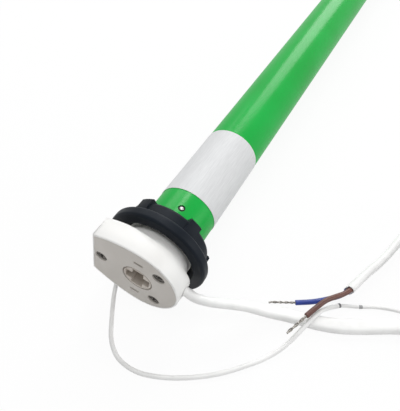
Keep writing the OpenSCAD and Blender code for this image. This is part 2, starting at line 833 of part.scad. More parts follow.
module board_chips() {
    color([0.15, 0.15, 0.15]) {
        chips(power_chip, power_chip_x, power_chips, power_chip_pitch);
        chips(control_chip, control_chip_x);
        chips(radio_chip, radio_chip_x);
        chips(relay_chip, relay_chip_x, relay_chips, relay_chip_pitch);
    }
}

// Disc with a hole for each terminal of the motor
module hall_board() {
    color("darkgreen") difference() {
        bar(tray_end, hall_end, fit_r - hall_inset);
        for (side = [-1, 1]) translate([0, side * terminal_at, 0])
            bar(tray_end - overcut, hall_end + overcut, terminal_r);
    }
}

module motor_can() {
    color("lightsteelblue") difference() {
        bar(can_x, can_end, can_r);
        bar(can_x - overcut, can_end - can_front, can_bore);
        bar(can_end - can_front - overcut, can_end + overcut, motor_bush_r + sliding);
    }
}

module motor_magnets() {
    outer = can_bore - sliding;
    color("dimgray") for (side = [0, 180]) rotate([side, 0, 0]) intersection() {
        sleeve(rotor_x - magnet_over, rotor_x + core_len + magnet_over, outer, outer - magnet_t);
        along_axis(can_x) linear_extrude(can_len) wedge(magnet_half_angle, 2 * tube_d);
    }
}

// Cap behind the can, with two holders for the brushes
module motor_end_cap() {
    holder_end = commutator_x + commutator_len;
    holder_y = commutator_r + brush_out;
    brush_hole = brush_w + 2 * sliding;
    color("black") difference() {
        union() {
            bar(end_cap_x, can_x, can_r);
            bar(can_x - lap, can_x + end_cap_depth, can_bore - sliding);
            for (side = [-1, 1])
                translate([can_x, side * holder_y - brush_holder[0] / 2, -brush_holder[1] / 2])
                cube([holder_end - can_x, brush_holder[0], brush_holder[1]]);
        }
        bar(end_cap_x - overcut, can_x + end_cap_depth + overcut, motor_bush_r + sliding);
        bar(can_x, holder_end + overcut, commutator_r + axial);
        translate([commutator_x + commutator_len / 2, 0, 0])
            cube([brush_hole, 2 * (holder_y + brush_holder[0]), brush_hole], center = true);
    }
}

module motor_brushes() {
    color("gray") for (side = [0, 180]) rotate([side, 0, 0]) difference() {
        translate([commutator_x + (commutator_len - brush_w) / 2, 0, -brush_w / 2])
            cube([brush_w, commutator_r + brush_len, brush_w]);
        bar(can_x, can_end, commutator_r + running);
    }
}

module motor_bushes() {
    color("peru") for (x = [end_cap_x, can_end - motor_bush_len])
        sleeve(x, x + motor_bush_len, motor_bush_r, shaft_r + running);
}

module damper_rings() {
    color([0.2, 0.2, 0.2]) for (x = [can_x + damper_inset, can_end - damper_inset - damper_len])
        sleeve(x, x + damper_len, bore_r - sliding, can_r + sliding);
}

module rotor_shaft() {
    color("silver") bar(encoder_x, planet_x[0] + planet_w[0], shaft_r);
}

// Iron core of the rotor: a hub, and a web and a curved tip for each pole
module rotor_core() {
    color("slategray") along_axis(rotor_x) linear_extrude(core_len) difference() {
        union() {
            circle(r = pole_hub_r);
            round_flat(poles) translate([0, -pole_web / 2]) square([rotor_r - pole_tip / 2, pole_web]);
            difference() {
                circle(r = rotor_r);
                circle(r = rotor_r - pole_tip);
                round_flat(poles, 180 / poles) translate([0, -pole_slot / 2])
                    square([2 * rotor_r, pole_slot]);
            }
        }
        circle(r = shaft_r);
    }
}

// A winding round each pole's web, between the hub and the tip
module rotor_windings() {
    inner = pole_hub_r + sliding;
    outer = rotor_r - pole_tip - sliding;
    slot = pole_web + 2 * sliding;
    color("chocolate") round_axis(poles) difference() {
        along_axis(rotor_x - winding_end) linear_extrude(core_len + 2 * winding_end) intersection() {
            difference() {
                circle(r = outer);
                circle(r = inner);
            }
            translate([pole_web, 0]) wedge(winding_half_angle, 2 * rotor_r);
        }
        translate([rotor_x - sliding, 0, -slot / 2]) cube([core_len + 2 * sliding, rotor_r, slot]);
    }
}

module commutator() {
    color("orange") along_axis(commutator_x) linear_extrude(commutator_len) difference() {
        circle(r = commutator_r);
        circle(r = shaft_r);
        round_flat(poles) translate([commutator_r - commutator_slot, -commutator_slot / 2])
            square([overcut, commutator_slot]);
    }
}

module encoder_magnet() {
    color("darkslategray") sleeve(encoder_x, encoder_x + encoder_len, encoder_r, shaft_r);
}

// Involute gear outline: half of a tooth's angle, in degrees, at a radius
function involute(r, base) = let (a = acos(min(1, base / r))) tan(a) * 180 / PI - a;
function half_tooth(r, pitch_r, width) =
    let (base = pitch_r * cos(pressure_angle))
    width / (2 * pitch_r) * 180 / PI + involute(pitch_r, base) - involute(max(r, base), base);
function polar(r, a) = r * [cos(a), sin(a)];
function gear_outline(teeth, root, tip, width, steps = 4) =
    let (pitch_r = gear_module * teeth / 2)
    let (radii = [for (i = [0:steps]) root + (tip - root) * i / steps])
    [for (k = [0:teeth - 1]) let (mid = k * 360 / teeth) each concat(
        [for (r = radii) polar(r, mid - half_tooth(r, pitch_r, width))],
        [for (i = [steps:-1:0]) polar(radii[i], mid + half_tooth(radii[i], pitch_r, width))]
    )];

// Outside gear along the axis, with a tooth at local angle 0
module spur_gear(x, length, teeth) {
    pitch_r = gear_module * teeth / 2;
    along_axis(x) linear_extrude(length)
        polygon(gear_outline(teeth, pitch_r - dedendum, pitch_r + addendum, tooth_w - tooth_play));
}

module motor_pinion() {
    pinion_end = planet_x[0] + planet_w[0];
    color("gold") difference() {
        spur_gear(pinion_x, pinion_end - pinion_x, sun_teeth);
        bar(pinion_x - overcut, pinion_end + overcut, shaft_r);
    }
}

module motor_flange() {
    pinion_tip = gear_module * sun_teeth / 2 + addendum;
    color("whitesmoke") sleeve(can_end, ring_x, fit_r, pinion_tip + pinion_room);
}

module ring_gear() {
    pitch_r = gear_module * ring_teeth / 2;
    color("ivory") difference() {
        bar(ring_x, ring_end, fit_r);
        along_axis(ring_x - overcut) linear_extrude(ring_end - ring_x + 2 * overcut)
            polygon(gear_outline(ring_teeth, pitch_r - addendum, pitch_r + dedendum, tooth_w + tooth_play));
    }
}

// One planet of a stage: stages and planets count from 1
module planet(stage, k) {
    x0 = planet_x[stage - 1];
    x1 = x0 + planet_w[stage - 1];
    color("khaki") rotate([(k - 1) * 360 / planets, 0, 0]) translate([0, planet_orbit, 0]) difference() {
        spur_gear(x0, x1 - x0, planet_teeth);
        bar(x0 - overcut, x1 + overcut, pin_r + running);
    }
}

// The three pins of a stage, pressed into its carrier
module planet_pins(stage) {
    i = stage - 1;
    color("silver") round_axis(planets) translate([0, planet_orbit, 0])
        bar(planet_x[i], plate_x[i] + plate_w[i], pin_r);
}

// Plate of a carrier, with its pin holes
module carrier_plate(stage) {
    x0 = plate_x[stage - 1];
    x1 = x0 + plate_w[stage - 1];
    difference() {
        bar(x0, x1, carrier_r);
        round_axis(planets) translate([0, planet_orbit, 0]) bar(x0 - overcut, x1 + overcut, pin_r);
    }
}

// Carrier of an inner stage, in one piece with the next stage's sun
module carrier(stage) {
    sun_x = plate_x[stage - 1] + plate_w[stage - 1] - lap;
    color("lightgray") union() {
        carrier_plate(stage);
        spur_gear(sun_x, planet_x[stage] + planet_w[stage] - sun_x, sun_teeth);
    }
}

// The third carrier, in one piece with its round shaft and hexagonal end
module output_shaft() {
    color("silver") difference() {
        union() {
            carrier_plate(3);
            bar(plate_x[2] + plate_w[2] - lap, wheel_x, output_r);
            along_axis(wheel_x - lap) cylinder(r = hex_r, h = output_end - wheel_x + lap, $fn = 6);
        }
        bar(drive_hole_x, output_end + overcut, drive_screw_d / 2 + sliding);
    }
}

module gearbox_cap() {
    color("whitesmoke") difference() {
        union() {
            bar(ring_end, cap_end, fit_r);
            bar(tube_end, cap_end, tube_r);
        }
        bar(ring_end - overcut, cap_end + overcut, output_bush_r + sliding);
        rivet_holes([rivet_rows[1]], rivet_d + 2 * sliding);
    }
}

module output_bush() {
    color("peru") sleeve(ring_end, cap_end, output_bush_r, output_r + running);
}

module drive_wheel() {
    bevel_x = wheel_end - wheel_bevel;
    key_x = wheel_x + wheel_key_from_end;
    color([0.1, 0.12, 0.16]) difference() {
        union() {
            difference() {
                turned([
                    [wheel_x, 0], [wheel_x, crown_body_r], [bevel_x, crown_body_r],
                    [wheel_end, crown_body_r - wheel_bevel], [wheel_end, 0]
                ]);
                along_axis(wheel_x + wheel_web) linear_extrude(wheel_len) difference() {
                    circle(r = crown_body_r - wheel_wall);
                    circle(d = hub_d);
                    round_flat(key_count, key_turn) translate([0, -wheel_spoke / 2])
                        square([crown_body_d, wheel_spoke]);
                }
            }
            keys([
                [key_x, crown_body_r - key_root], [key_x, key_r - key_bevel], [key_x + key_bevel, key_r],
                [wheel_end - key_ramp, key_r], [bevel_x, crown_body_r], [bevel_x, crown_body_r - key_root]
            ]);
        }
        along_axis(wheel_x - overcut) cylinder(r = output_r, h = wheel_len + 2 * overcut, $fn = 6);
    }
}

// Screw with its washer, into the end of the output shaft
module drive_screw() {
    washer_end = wheel_end + washer_t;
    head_end = washer_end + drive_head_h;
    head_r = drive_head_d / 2;
    color("silver") difference() {
        union() {
            bar(wheel_end, washer_end, washer_d / 2);
            turned([
                [wheel_end, 0], [wheel_end, head_r], [head_end - drive_head_bevel, head_r],
                [head_end, head_r - drive_head_bevel], [head_end, 0]
            ]);
            bar(drive_screw_x, wheel_end + lap, drive_screw_d / 2);
        }
        along_axis(head_end - drive_cross_depth) linear_extrude(drive_cross_depth + overcut)
            cross_shape(drive_cross);
    }
}

// Sweep of a flat or round profile along a route, as one closed mesh of triangles
function unit(v) = v / norm(v);
function way(route, i) = unit(route[min(i + 1, len(route) - 1)] - route[max(i - 1, 0)]);
function last_way(route) = unit(route[len(route) - 1] - route[len(route) - 2]);
function sign_power(v, p) = sign(v) * pow(abs(v), p);
function round_profile(d, sides) = [for (i = [0:sides - 1]) polar(d / 2, (i + 0.5) * 360 / sides)];
function flat_profile(w, t, sides, squareness = 0.75) =
    [for (i = [0:sides - 1]) let (a = i * 360 / sides)
        [w / 2 * sign_power(cos(a), squareness), t / 2 * sign_power(sin(a), squareness)]];
function ring_at(at, along, turn, profile) =
    let (side = unit(cross(along, [0, 0, 1])), top = cross(side, along))
    let (broad = cos(turn) * side + sin(turn) * top, thin = cos(turn) * top - sin(turn) * side)
    [for (p = profile) at + p[0] * broad + p[1] * thin];
function rings_along(route, profile, turns, start_way, end_way) =
    let (last = len(route) - 1)
    let (inner_ways = [for (i = [1:last - 1]) way(route, i)])
    let (ways = concat([start_way], inner_ways, [end_way]))
    [for (i = [0:last]) ring_at(route[i], ways[i], turns[i], profile)];

// Faces between ring i and the next, and the fan that closes an end
function band(i, n) =
    [for (k = [0:n - 1]) let (a = i * n + k, b = i * n + (k + 1) % n)
        each [[a, a + n, b], [b, a + n, b + n]]];
function first_cap(n) = [for (k = [1:n - 2]) [0, k, k + 1]];
function last_cap(e, n) = [for (k = [1:n - 2]) [e, e + k + 1, e + k]];

module swept(rings) {
    n = len(rings[0]);
    last = len(rings) - 1;
    sides = [for (i = [0:last - 1]) each band(i, n)];
    polyhedron(points = [for (r = rings) each r], faces = concat(first_cap(n), sides, last_cap(last * n, n)));
}

// Flat cord, with its first and last faces square to the given ways
module flat_cord(route, turns, start_way, end_way) {
    swept(rings_along(route, flat_profile(cord_w, cord_t, 12), turns, start_way, end_way));
}

// Round wire, with its first and last faces square to the given ways
module wire(route, d, start_way, end_way) {
    swept(rings_along(route, round_profile(d, 8), [for (p = route) 0], start_way, end_way));
}

module power_cord_lead() {
    route = concat([cord_exit_at], lead_route, [coil_start]);
    turns = concat([cord_exit_turn], lead_turn, [edge_up]);
    color("white") flat_cord(route, turns, cord_way, [0, -1, 0]);
}

module power_cord_coil() {
    echo(least_gap_in_coil = coil_gap());
    color("white") swept(coil_tube);
}

module power_cord_tail() {
    route = concat([coil_finish], tail_route);
    color("white") flat_cord(route, concat([edge_up], tail_turn), [0, 1, 0], tail_way);
}

// Strap round all the turns at one side of the coil
module cord_tie() {
    inner_turn = coil_r_at(coil_turns / 2) - cord_t / 2;
    inner_r = sqrt(pow(inner_turn, 2) - pow(tie_w / 2, 2)) - tie_play;
    outer_r = coil_r + cord_t / 2 + tie_play;
    high = coil_z + coil_layer + cord_w / 2 + tie_play;
    opening = [outer_r - inner_r, high - floor_z - tie_t];
    color("black") translate([coil_mid[0] - tie_w / 2, coil_mid[1] - outer_r, floor_z + tie_t])
        rotate([90, 0, 90]) linear_extrude(tie_w) difference() {
            translate([-tie_t, -tie_t]) square(opening + 2 * [tie_t, tie_t]);
            square(opening);
        }
}

module brown_core() {
    route = concat([tail_end + core_side], brown_route);
    color("saddlebrown") wire(route, core_d, tail_way, last_way(brown_route));
}

module blue_core() {
    route = concat([tail_end - core_side], blue_route);
    color("royalblue") wire(route, core_d, tail_way, last_way(blue_route));
}

module bare_conductors() {
    color("silver") {
        wire(brown_bare_route, conductor_d, last_way(brown_route), last_way(brown_bare_route));
        wire(blue_bare_route, conductor_d, last_way(blue_route), last_way(blue_bare_route));
    }
}

module aerial_sleeve() {
    route = concat([aerial_exit], aerial_route);
    color("white") wire(route, aerial_d, aerial_way, last_way(aerial_route));
}

module aerial_lead() {
    end_way = last_way(aerial_lead_route);
    color("gainsboro") wire(aerial_lead_route, aerial_lead_d, last_way(aerial_route), end_way);
}

head_housing();
face_plate();
bracket_socket();
face_screws();
cord_gland();
crown();
crown_bush();
motor_tube();
rating_label();
tube_rivets();
board_tray();
supply_board();
control_board();
transformer();
capacitors();
board_chips();
hall_board();
motor_can();
motor_magnets();
motor_end_cap();
motor_brushes();
motor_bushes();
damper_rings();
rotor_shaft();
rotor_core();
rotor_windings();
commutator();
encoder_magnet();
motor_pinion();
motor_flange();
ring_gear();
for (i = [1:3]) for (k = [1:planets])
    planet(i, k);
carrier(1);  // carrier_1
planet_pins(1);  // pins_1
carrier(2);  // carrier_2
planet_pins(2);  // pins_2
output_shaft();
planet_pins(3);  // pins_3
gearbox_cap();
output_bush();
drive_wheel();
drive_screw();
power_cord_lead();
power_cord_coil();
power_cord_tail();
cord_tie();
brown_core();
blue_core();
bare_conductors();
aerial_sleeve();
aerial_lead();
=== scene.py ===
"""Looks of a tubular roller blind motor, built around its CAD frame.

Units are metres in the frame's own axes: the tube runs along +X from the head's face at x = 0, and +Z is up.
"""

import json
import math

import bmesh
import bpy
import numpy as np
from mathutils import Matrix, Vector


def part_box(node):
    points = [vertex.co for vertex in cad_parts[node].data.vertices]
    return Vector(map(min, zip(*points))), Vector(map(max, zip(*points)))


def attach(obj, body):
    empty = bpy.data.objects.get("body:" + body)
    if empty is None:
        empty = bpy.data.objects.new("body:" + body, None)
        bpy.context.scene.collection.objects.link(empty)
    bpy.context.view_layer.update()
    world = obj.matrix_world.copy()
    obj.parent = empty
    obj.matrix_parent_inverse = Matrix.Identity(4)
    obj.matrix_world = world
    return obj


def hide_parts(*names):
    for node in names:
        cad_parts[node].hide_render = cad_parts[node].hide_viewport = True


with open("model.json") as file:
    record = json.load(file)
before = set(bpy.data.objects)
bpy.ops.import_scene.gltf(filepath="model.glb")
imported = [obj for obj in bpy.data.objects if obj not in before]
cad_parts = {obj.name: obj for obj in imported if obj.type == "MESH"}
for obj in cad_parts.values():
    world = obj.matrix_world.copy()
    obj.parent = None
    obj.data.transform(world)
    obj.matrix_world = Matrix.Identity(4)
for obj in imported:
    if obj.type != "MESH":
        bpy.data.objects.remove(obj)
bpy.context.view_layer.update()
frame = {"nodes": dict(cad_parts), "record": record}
cad = frame["nodes"]
MM = 0.001

# Sizes, bodies and material slots that the frame gives
floor_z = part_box("crown")[0].z
tube_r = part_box("motor_tube")[1].z
body_of = {node: body for body, nodes in frame["record"]["behaviour"]["bodies"].items() for node in nodes}
slot_of = {subpart["node"]: subpart["material_slot"] for subpart in frame["record"]["subparts"]}

# Camera: where the photograph was taken from
CAMERA_AT = Vector((-63.3, -61.1, 139.0)) * MM
CAMERA_FORWARD = Vector((0.5719, 0.3159, -0.757))
CAMERA_LENS = 38.82
CAMERA_CLIP = 10 * MM

# Stage: a floor that camera rays see mostly as white, and the level of the world's light
FLOOR_HALF = 4.0
FLOOR_GREY = 0.9
FLOOR_ROUGHNESS = 0.8
FLOOR_GLOSS = 0.1
FLOOR_GLOW = 0.93
AMBIENT = 0.42

# Softboxes by direction, distance, side and power, from the point that they look at
LAMP_AIM = Vector((60, 0, 0)) * MM
SOFTBOXES = {
    "key": ((0.58, 0.14, 0.8), 1.1, 0.26, 2.2),
    "back": ((0.87, 0.08, 0.47), 1.3, 0.55, 4.4),
    "window": ((0.53, 0.54, 0.65), 1.1, 0.46, 2),
    "top": ((-0.1, -0.16, 0.98), 1.1, 0.5, 3.3),
    "side": ((0.3, -0.9, 0.3), 1.1, 0.5, 2.6),
}

# Rounded edges: their width on each node in millimetres, and how edges are chosen and cleaned
EDGE_WIDTHS = {
    "head_housing": 0.22, "face_plate": 0.12, "bracket_socket": 0.22, "face_screws": 0.1, "cord_gland": 0.12,
    "crown": 0.4, "gearbox_cap": 0.3, "drive_wheel": 0.35, "drive_screw": 0.2,
}
EDGE_SEGMENTS = 3
EDGE_ANGLE = math.radians(32)
FLAT_ANGLE = math.radians(0.5)
MERGE = 0.001 * MM
SLIVER = 0.002 * MM

# Angles up to which edges are shaded smooth, on rounded CAD nodes and on the pieces made here
ROUNDED_SMOOTH = math.radians(40)
MADE_SMOOTH = math.radians(50)

# Head: its slab and its shoulder, as in the CAD
HEAD_R = 17.2 * MM
HEAD_SIDE_R = 40 * MM
HEAD_T = 8.6 * MM
HEAD_TURN = math.radians(12)
SHOULDER_R = 14.6 * MM
SHOULDER_LEN = 6.2 * MM
SHOULDER_FALL = 1.7 * MM

# Melted back edge of the slab: its stretch along x, its radius at the back face and the shift of its points
MELT_FROM = 4.8 * MM
MELT_TO = 11.9 * MM
MELT_R = 16.1 * MM
MELT_SHIFT = 0.3 * MM

# Cuts of its side, as shares of the stretch in the slab, the degrees between cuts of its back, and their play
MELT_CUTS = (0, 0.2, 0.4, 0.55, 0.7, 0.8, 0.9)
BACK_STEP = 6
CUT_PLAY = 0.0001 * MM

# Angles from the middle of the flat over which the melting comes in and goes out, in degrees
MELT_STARTS = (58, 96)
MELT_ENDS = (142, 171)

# How far inside the side and the shoulder a point still moves, and the play in finding the slab's faces
SIDE_REACH = 0.35 * MM
SHOULDER_REACH = 1.2 * MM
SIDE_PLAY = 0.2 * MM
BACK_PLAY = 0.01 * MM

# Part of a face's normal along x: less than this on the slab's side, and more than this on its back
SIDE_NORMAL = 0.1
BACK_NORMAL = 0.99

# Rivets, in millimetres and degrees: rows along the tube, angles round it, and radii and heights
RIVET_ROWS = (28, 359)
RIVET_ANGLES = (103, 223, 343)
RIVET_SIDES = 28
RIVET_PIN = [
    (0.84, -1.4), (0.84, -0.3), (0.8, -0.14), (0.68, -0.02), (0.48, 0.06), (0.24, 0.1), (0.08, 0.11),
]
# Profile of the black ring sunk round each pin: painted shade for the shadowed gap between pin and tube
RIVET_SHADE_RING = [
    (0.86, -0.95), (0.86, -0.5), (0.98, -0.42), (1.2, -0.4), (1.38, -0.34), (1.42, -0.4), (1.42, -0.95),
]

# Power cord: flat sheath, its routes in millimetres and the turn of its broad side from level, in degrees
CORD_W = 6.2 * MM
CORD_T = 3.4 * MM
SHEATH_WALL = 0.55 * MM
CUT_DEPTH = 2 * MM
CORD_SPACING = 1.2 * MM
CORD_END_R = 0.3 * MM
CORD_ARC_POINTS = 10
CORD_EXIT = (5.8, -16.824, -3.576)
CORD_WAY = (0, -0.978, -0.208)
LEAD_ROUTE = [
    (5.6, -21, -4.5), (6.8, -25, -5.4), (9, -28.5, -7.2), (12.2, -32.3, -10), (15.6, -36.5, -13),
    (18.4, -41, -15.8), (20.8, -46, -17.9), (22.8, -51, -18.7), (24.4, -57, -18.95), (25.8, -63, -19.05),
    (28.4, -70.5, -19.2), (33, -79.5, -19.2), (38.4, -90, -18.6), (41.4, -100, -18), (42.2, -110, -17.2),
]
EXIT_TURN = 60
LEAD_TURN = [57, 54, 50, 45, 40, 34, 27, 20, 13, 8, 3, 0, 10, 38, 70]
TAIL_ROUTE = [
    (115, -110, -10.8), (110.5, -100, -12.4), (101.4, -91, -14.6), (90.2, -85, -16.5),
    (79, -81.8, -17.6), (63.5, -77, -17.8), (54.7, -73.3, -17.8), (44.8, -69.8, -17.8),
]
TAIL_TURN = [90, 90, 90, 90, 92, 97, 103, 108]
EDGE_UP = 90

# Coil of the cord, in millimetres and turns: in along the lower layer, out along the upper one
COIL_MID = (79, -128)
COIL_R = 37
COIL_STEP = 5.4
COIL_TURNS = 4.5
COIL_RISE = 0.5
COIL_LIFT = 1
COIL_LAYER = 7
COIL_RINGS = 24

# Strap round the coil: its corners go round in steps of degrees, and its top is where a way out is upright
TIE_T = 0.8 * MM
TIE_LAP = 0.7 * MM
TIE_CORNER = 1.6 * MM
TIE_EDGE = 0.2 * MM
TIE_STEP = 15
TIE_TOP_POINTS = 9
UPRIGHT = 0.99

# Angles of the rings that round an end over, in degrees, and a direction that no wire sets out along
END_STEPS = (30, 60, 85)
OFF_AXIS = (0.3, 0.2, 1.0)

# Cores and wires, whose ends are rounded by a share of their diameter
CORE_D = 2.1 * MM
WIRE_SIDES = 16
WIRE_SPACING = 0.5 * MM
WIRE_END = 0.12
BROWN_ROUTE = [
    (41.6, -68.6, -16.4), (38, -66, -15.5), (34, -63.2, -14.5), (28.4, -60.6, -14.1), (24, -58.7, -14.3),
]
BLUE_ROUTE = [(42, -67.6, -19.4), (38.6, -64.2, -19.6), (33.8, -58.5, -19.6), (30.2, -53, -19.4)]

# Bare conductors: strands at places across an oval bundle, in their diameters, that part at their loose end
STRAND_PLACES = [(0.95, 0), (0, 0.5), (-0.95, 0), (0, -0.5)]
STRAND_SIDES = 9
STRAND_SPACING = 0.25 * MM
STRAND_END_R = 0.12 * MM
LOOSE_LEN = 2.5 * MM
LOOSE_SPREAD = 0.15
BROWN_STRAND_D = 0.43 * MM
BROWN_TWIST = 6 * MM
BROWN_BARE_ROUTE = [(24, -58.7, -14.3), (19, -56.7, -14.9), (14.6, -54.7, -15.8)]
BLUE_STRAND_D = 0.36 * MM
BLUE_TWIST = 4.6 * MM
BLUE_BARE_ROUTE = [(30.2, -53, -19.4), (27.5, -48.4, -18.9), (24.6, -43.6, -18.2)]

# Aerial: its sleeve, its inner lead and the bands on both, with a band's profile in its lengths and heights
AERIAL_D = 1.75 * MM
AERIAL_LEAD_D = 1.4 * MM
AERIAL_LEAD_SIDES = 10
AERIAL_PLAY = 0.1 * MM
BAND_SIDES = 20
BAND_H = 0.06 * MM
BAND_PROFILE = [(-0.5, -1), (-0.4, 1), (0.4, 1), (0.5, -1)]
SLEEVE_BAND = 0.9 * MM
LEAD_BAND = 1.5 * MM
AERIAL_EXIT = (3.6, 13.09, -13.5)
AERIAL_WAY = (0, 0.208, -0.978)
AERIAL_ROUTE = [
    (3.2, 13.6, -15.4), (1.4, 13.4, -17.4), (-1.6, 12.4, -19.2), (-5.4, 10.4, -20), (-9, 8.2, -20),
    (-12.4, 6, -20), (-16.2, 3.4, -20), (-19.6, 0, -20), (-22, -4, -20), (-23, -8.6, -20),
    (-22.8, -14, -20), (-21, -20, -20), (-17.8, -26.8, -20), (-13.8, -33.2, -20), (-9, -39.4, -20),
    (-3, -45.4, -20), (3, -50.6, -20), (8.4, -54.2, -19.8), (13, -56.6, -18.8), (17.4, -58.4, -17.2),
    (22, -60, -16.3), (26.4, -61.4, -16.2), (29.8, -62.8, -16.7), (33, -64.6, -18.2), (35.6, -66.4, -19.6),
    (37.6, -68.4, -20),
]
AERIAL_LEAD_ROUTE = [
    (37.6, -68.4, -20), (41.2, -76, -20.2), (44, -81.4, -20.2), (46.4, -88.8, -20.2), (47.4, -94, -20.2),
]

# Materials: how far light goes inside plastic, and the span of a noise that is used
SCATTER = 1.6 * MM
NOISE_SPAN = (0.3, 0.7)

# Nodes with a finish of their own within their slot, and the materials by name, which each finish adds to
OWN_FINISH = {"bracket_socket": "socket_painted_shade", "face_screws": "screw_steel", "crown_bush": "bush_plastic"}
MATERIALS = {}


# Kinds of finish

def srgb(red, green, blue):
    """Linear colour of an 8-bit screen colour."""
    def linear(value):
        value = value / 255
        return value / 12.92 if value <= 0.04045 else ((value + 0.055) / 1.055) ** 2.4
    return (linear(red), linear(green), linear(blue), 1.0)


class Finish:
    """A procedural material: one Principled shader and the nodes that vary it over the surface."""

    def __init__(self, name, colour, roughness, metallic=0.0, constants=None):
        material = bpy.data.materials.new(name)
        material.use_nodes = True
        MATERIALS[name] = material
        self.tree = material.node_tree
        self.shader = self.tree.nodes["Principled BSDF"]
        self.shader.inputs["Base Color"].default_value = srgb(*colour)
        self.shader.inputs["Roughness"].default_value = roughness
        self.shader.inputs["Metallic"].default_value = metallic
        for socket, value in (constants or {}).items():
            self.shader.inputs[socket].default_value = value
        self.place = self.add("ShaderNodeTexCoord").outputs["Object"]

    def add(self, kind, **settings):
        made = self.tree.nodes.new(kind)
        for key, value in settings.items():
            setattr(made, key, value)
        return made

    def link(self, value, socket):
        self.tree.links.new(value, socket)

    def noise(self, size, detail=2.0, stretch=(1, 1, 1)):
        """Noise from 0 to 1 whose lumps are about size metres across, longer along an axis by stretch."""
        mapping = self.add("ShaderNodeMapping")
        mapping.inputs["Scale"].default_value = [1 / (size * s) for s in stretch]
        self.link(self.place, mapping.inputs["Vector"])
        noise = self.add("ShaderNodeTexNoise")
        noise.inputs["Scale"].default_value = 1.0
        noise.inputs["Detail"].default_value = detail
        self.link(mapping.outputs["Vector"], noise.inputs["Vector"])
        return noise.outputs["Fac"]

    def spread(self, value, low, high):
        """The used span of a noise, mapped to low to high."""
        mapped = self.add("ShaderNodeMapRange")
        start, end = NOISE_SPAN
        for socket, number in (("From Min", start), ("From Max", end), ("To Min", low), ("To Max", high)):
            mapped.inputs[socket].default_value = number
        self.link(value, mapped.inputs["Value"])
        return mapped.outputs["Result"]

    def colours(self, value, low, high):
        """Base colour from low to high, by a noise."""
        mix = self.add("ShaderNodeMix", data_type="RGBA")
        colour_sockets = [s for s in mix.inputs if s.type == "RGBA"]
        colour_sockets[0].default_value = srgb(*low)
        colour_sockets[1].default_value = srgb(*high)
        self.link(self.spread(value, 0, 1), mix.inputs["Factor"])
        self.link([s for s in mix.outputs if s.type == "RGBA"][0], self.shader.inputs["Base Color"])

    def rough(self, value, low, high):
        """Roughness from low to high, by a noise."""
        self.link(self.spread(value, low, high), self.shader.inputs["Roughness"])

    def bump(self, value, depth, strength):
        """Bump of a depth in metres, by a noise."""
        bump = self.add("ShaderNodeBump")
        bump.inputs["Strength"].default_value = strength
        bump.inputs["Distance"].default_value = depth
        self.link(value, bump.inputs["Height"])
        self.link(bump.outputs["Normal"], self.shader.inputs["Normal"])


def moulded(name, low, high, roughness, grain=0.35 * MM, depth=0.02 * MM, gloss=0.4, inside=0.0):
    """Moulded plastic: a little colour and gloss variation, a fine grain, and light carried inside it."""
    made = Finish(name, high, roughness, constants={
        "Specular IOR Level": gloss, "Subsurface Weight": inside, "Subsurface Scale": SCATTER,
        "Subsurface Radius": (1.0, 1.0, 1.0),
    })
    made.colours(made.noise(18 * MM), low, high)
    made.rough(made.noise(5 * MM), roughness - 0.04, roughness + 0.05)
    made.bump(made.noise(grain), depth, 0.5)


def metal(name, low, high, roughness, stretch=(8, 1, 1), grain=0.25 * MM):
    """Drawn or turned metal with fine lines along one axis."""
    made = Finish(name, high, roughness, metallic=1.0)
    lines = made.noise(grain, stretch=stretch)
    made.colours(lines, low, high)
    made.rough(made.noise(3 * MM), roughness - 0.06, roughness + 0.08)
    made.bump(lines, 0.004 * MM, 0.4)


def extruded(name, low, high, roughness=0.42):
    """Soft extruded insulation: faint clouds of colour, a slight sheen and a waxy skin."""
    made = Finish(name, high, roughness)
    made.colours(made.noise(7 * MM), low, high)
    made.rough(made.noise(2.5 * MM), roughness - 0.05, roughness + 0.08)
    made.bump(made.noise(0.7 * MM), 0.015 * MM, 0.4)


def woven(name, low, high):
    """Hook-and-loop strap: a fine pile."""
    made = Finish(name, high, 0.85, constants={"Sheen Weight": 0.3})
    pile = made.noise(0.5 * MM, detail=4)
    made.colours(pile, low, high)
    made.rough(pile, 0.78, 0.95)
    made.bump(pile, 0.12 * MM, 0.8)


def painted(name, low, high):
    """Smooth paint under a thin clear coat."""
    made = Finish(name, high, 0.5, constants={
        "Specular IOR Level": 0.0, "Coat Weight": 0.5, "Coat Roughness": 0.25,
    })
    made.colours(made.noise(30 * MM), low, high)
    made.rough(made.noise(2 * MM), 0.46, 0.56)
    made.bump(made.noise(1.1 * MM), 0.006 * MM, 0.5)


def silvered(name, low, high):
    """Pale silvered film with fine lines along the tube."""
    made = Finish(name, high, 0.5, metallic=0.05, constants={"Specular IOR Level": 0.12})
    lines = made.noise(0.3 * MM, stretch=(20, 1, 1))
    made.colours(lines, low, high)
    made.rough(made.noise(3 * MM), 0.46, 0.56)
    made.bump(lines, 0.002 * MM, 0.3)


# One finish for each material slot, and those of single nodes and bands
moulded("white_plastic", (240, 239, 236), (247, 247, 245), 0.4, inside=0.4)
# Face plate: greyer than the white plastic; part of that grey is painted shade of the face, which looks away
# from the lamps
moulded("face_plastic", (198, 193, 186), (209, 204, 198), 0.5, 0.5 * MM, 0.04 * MM)
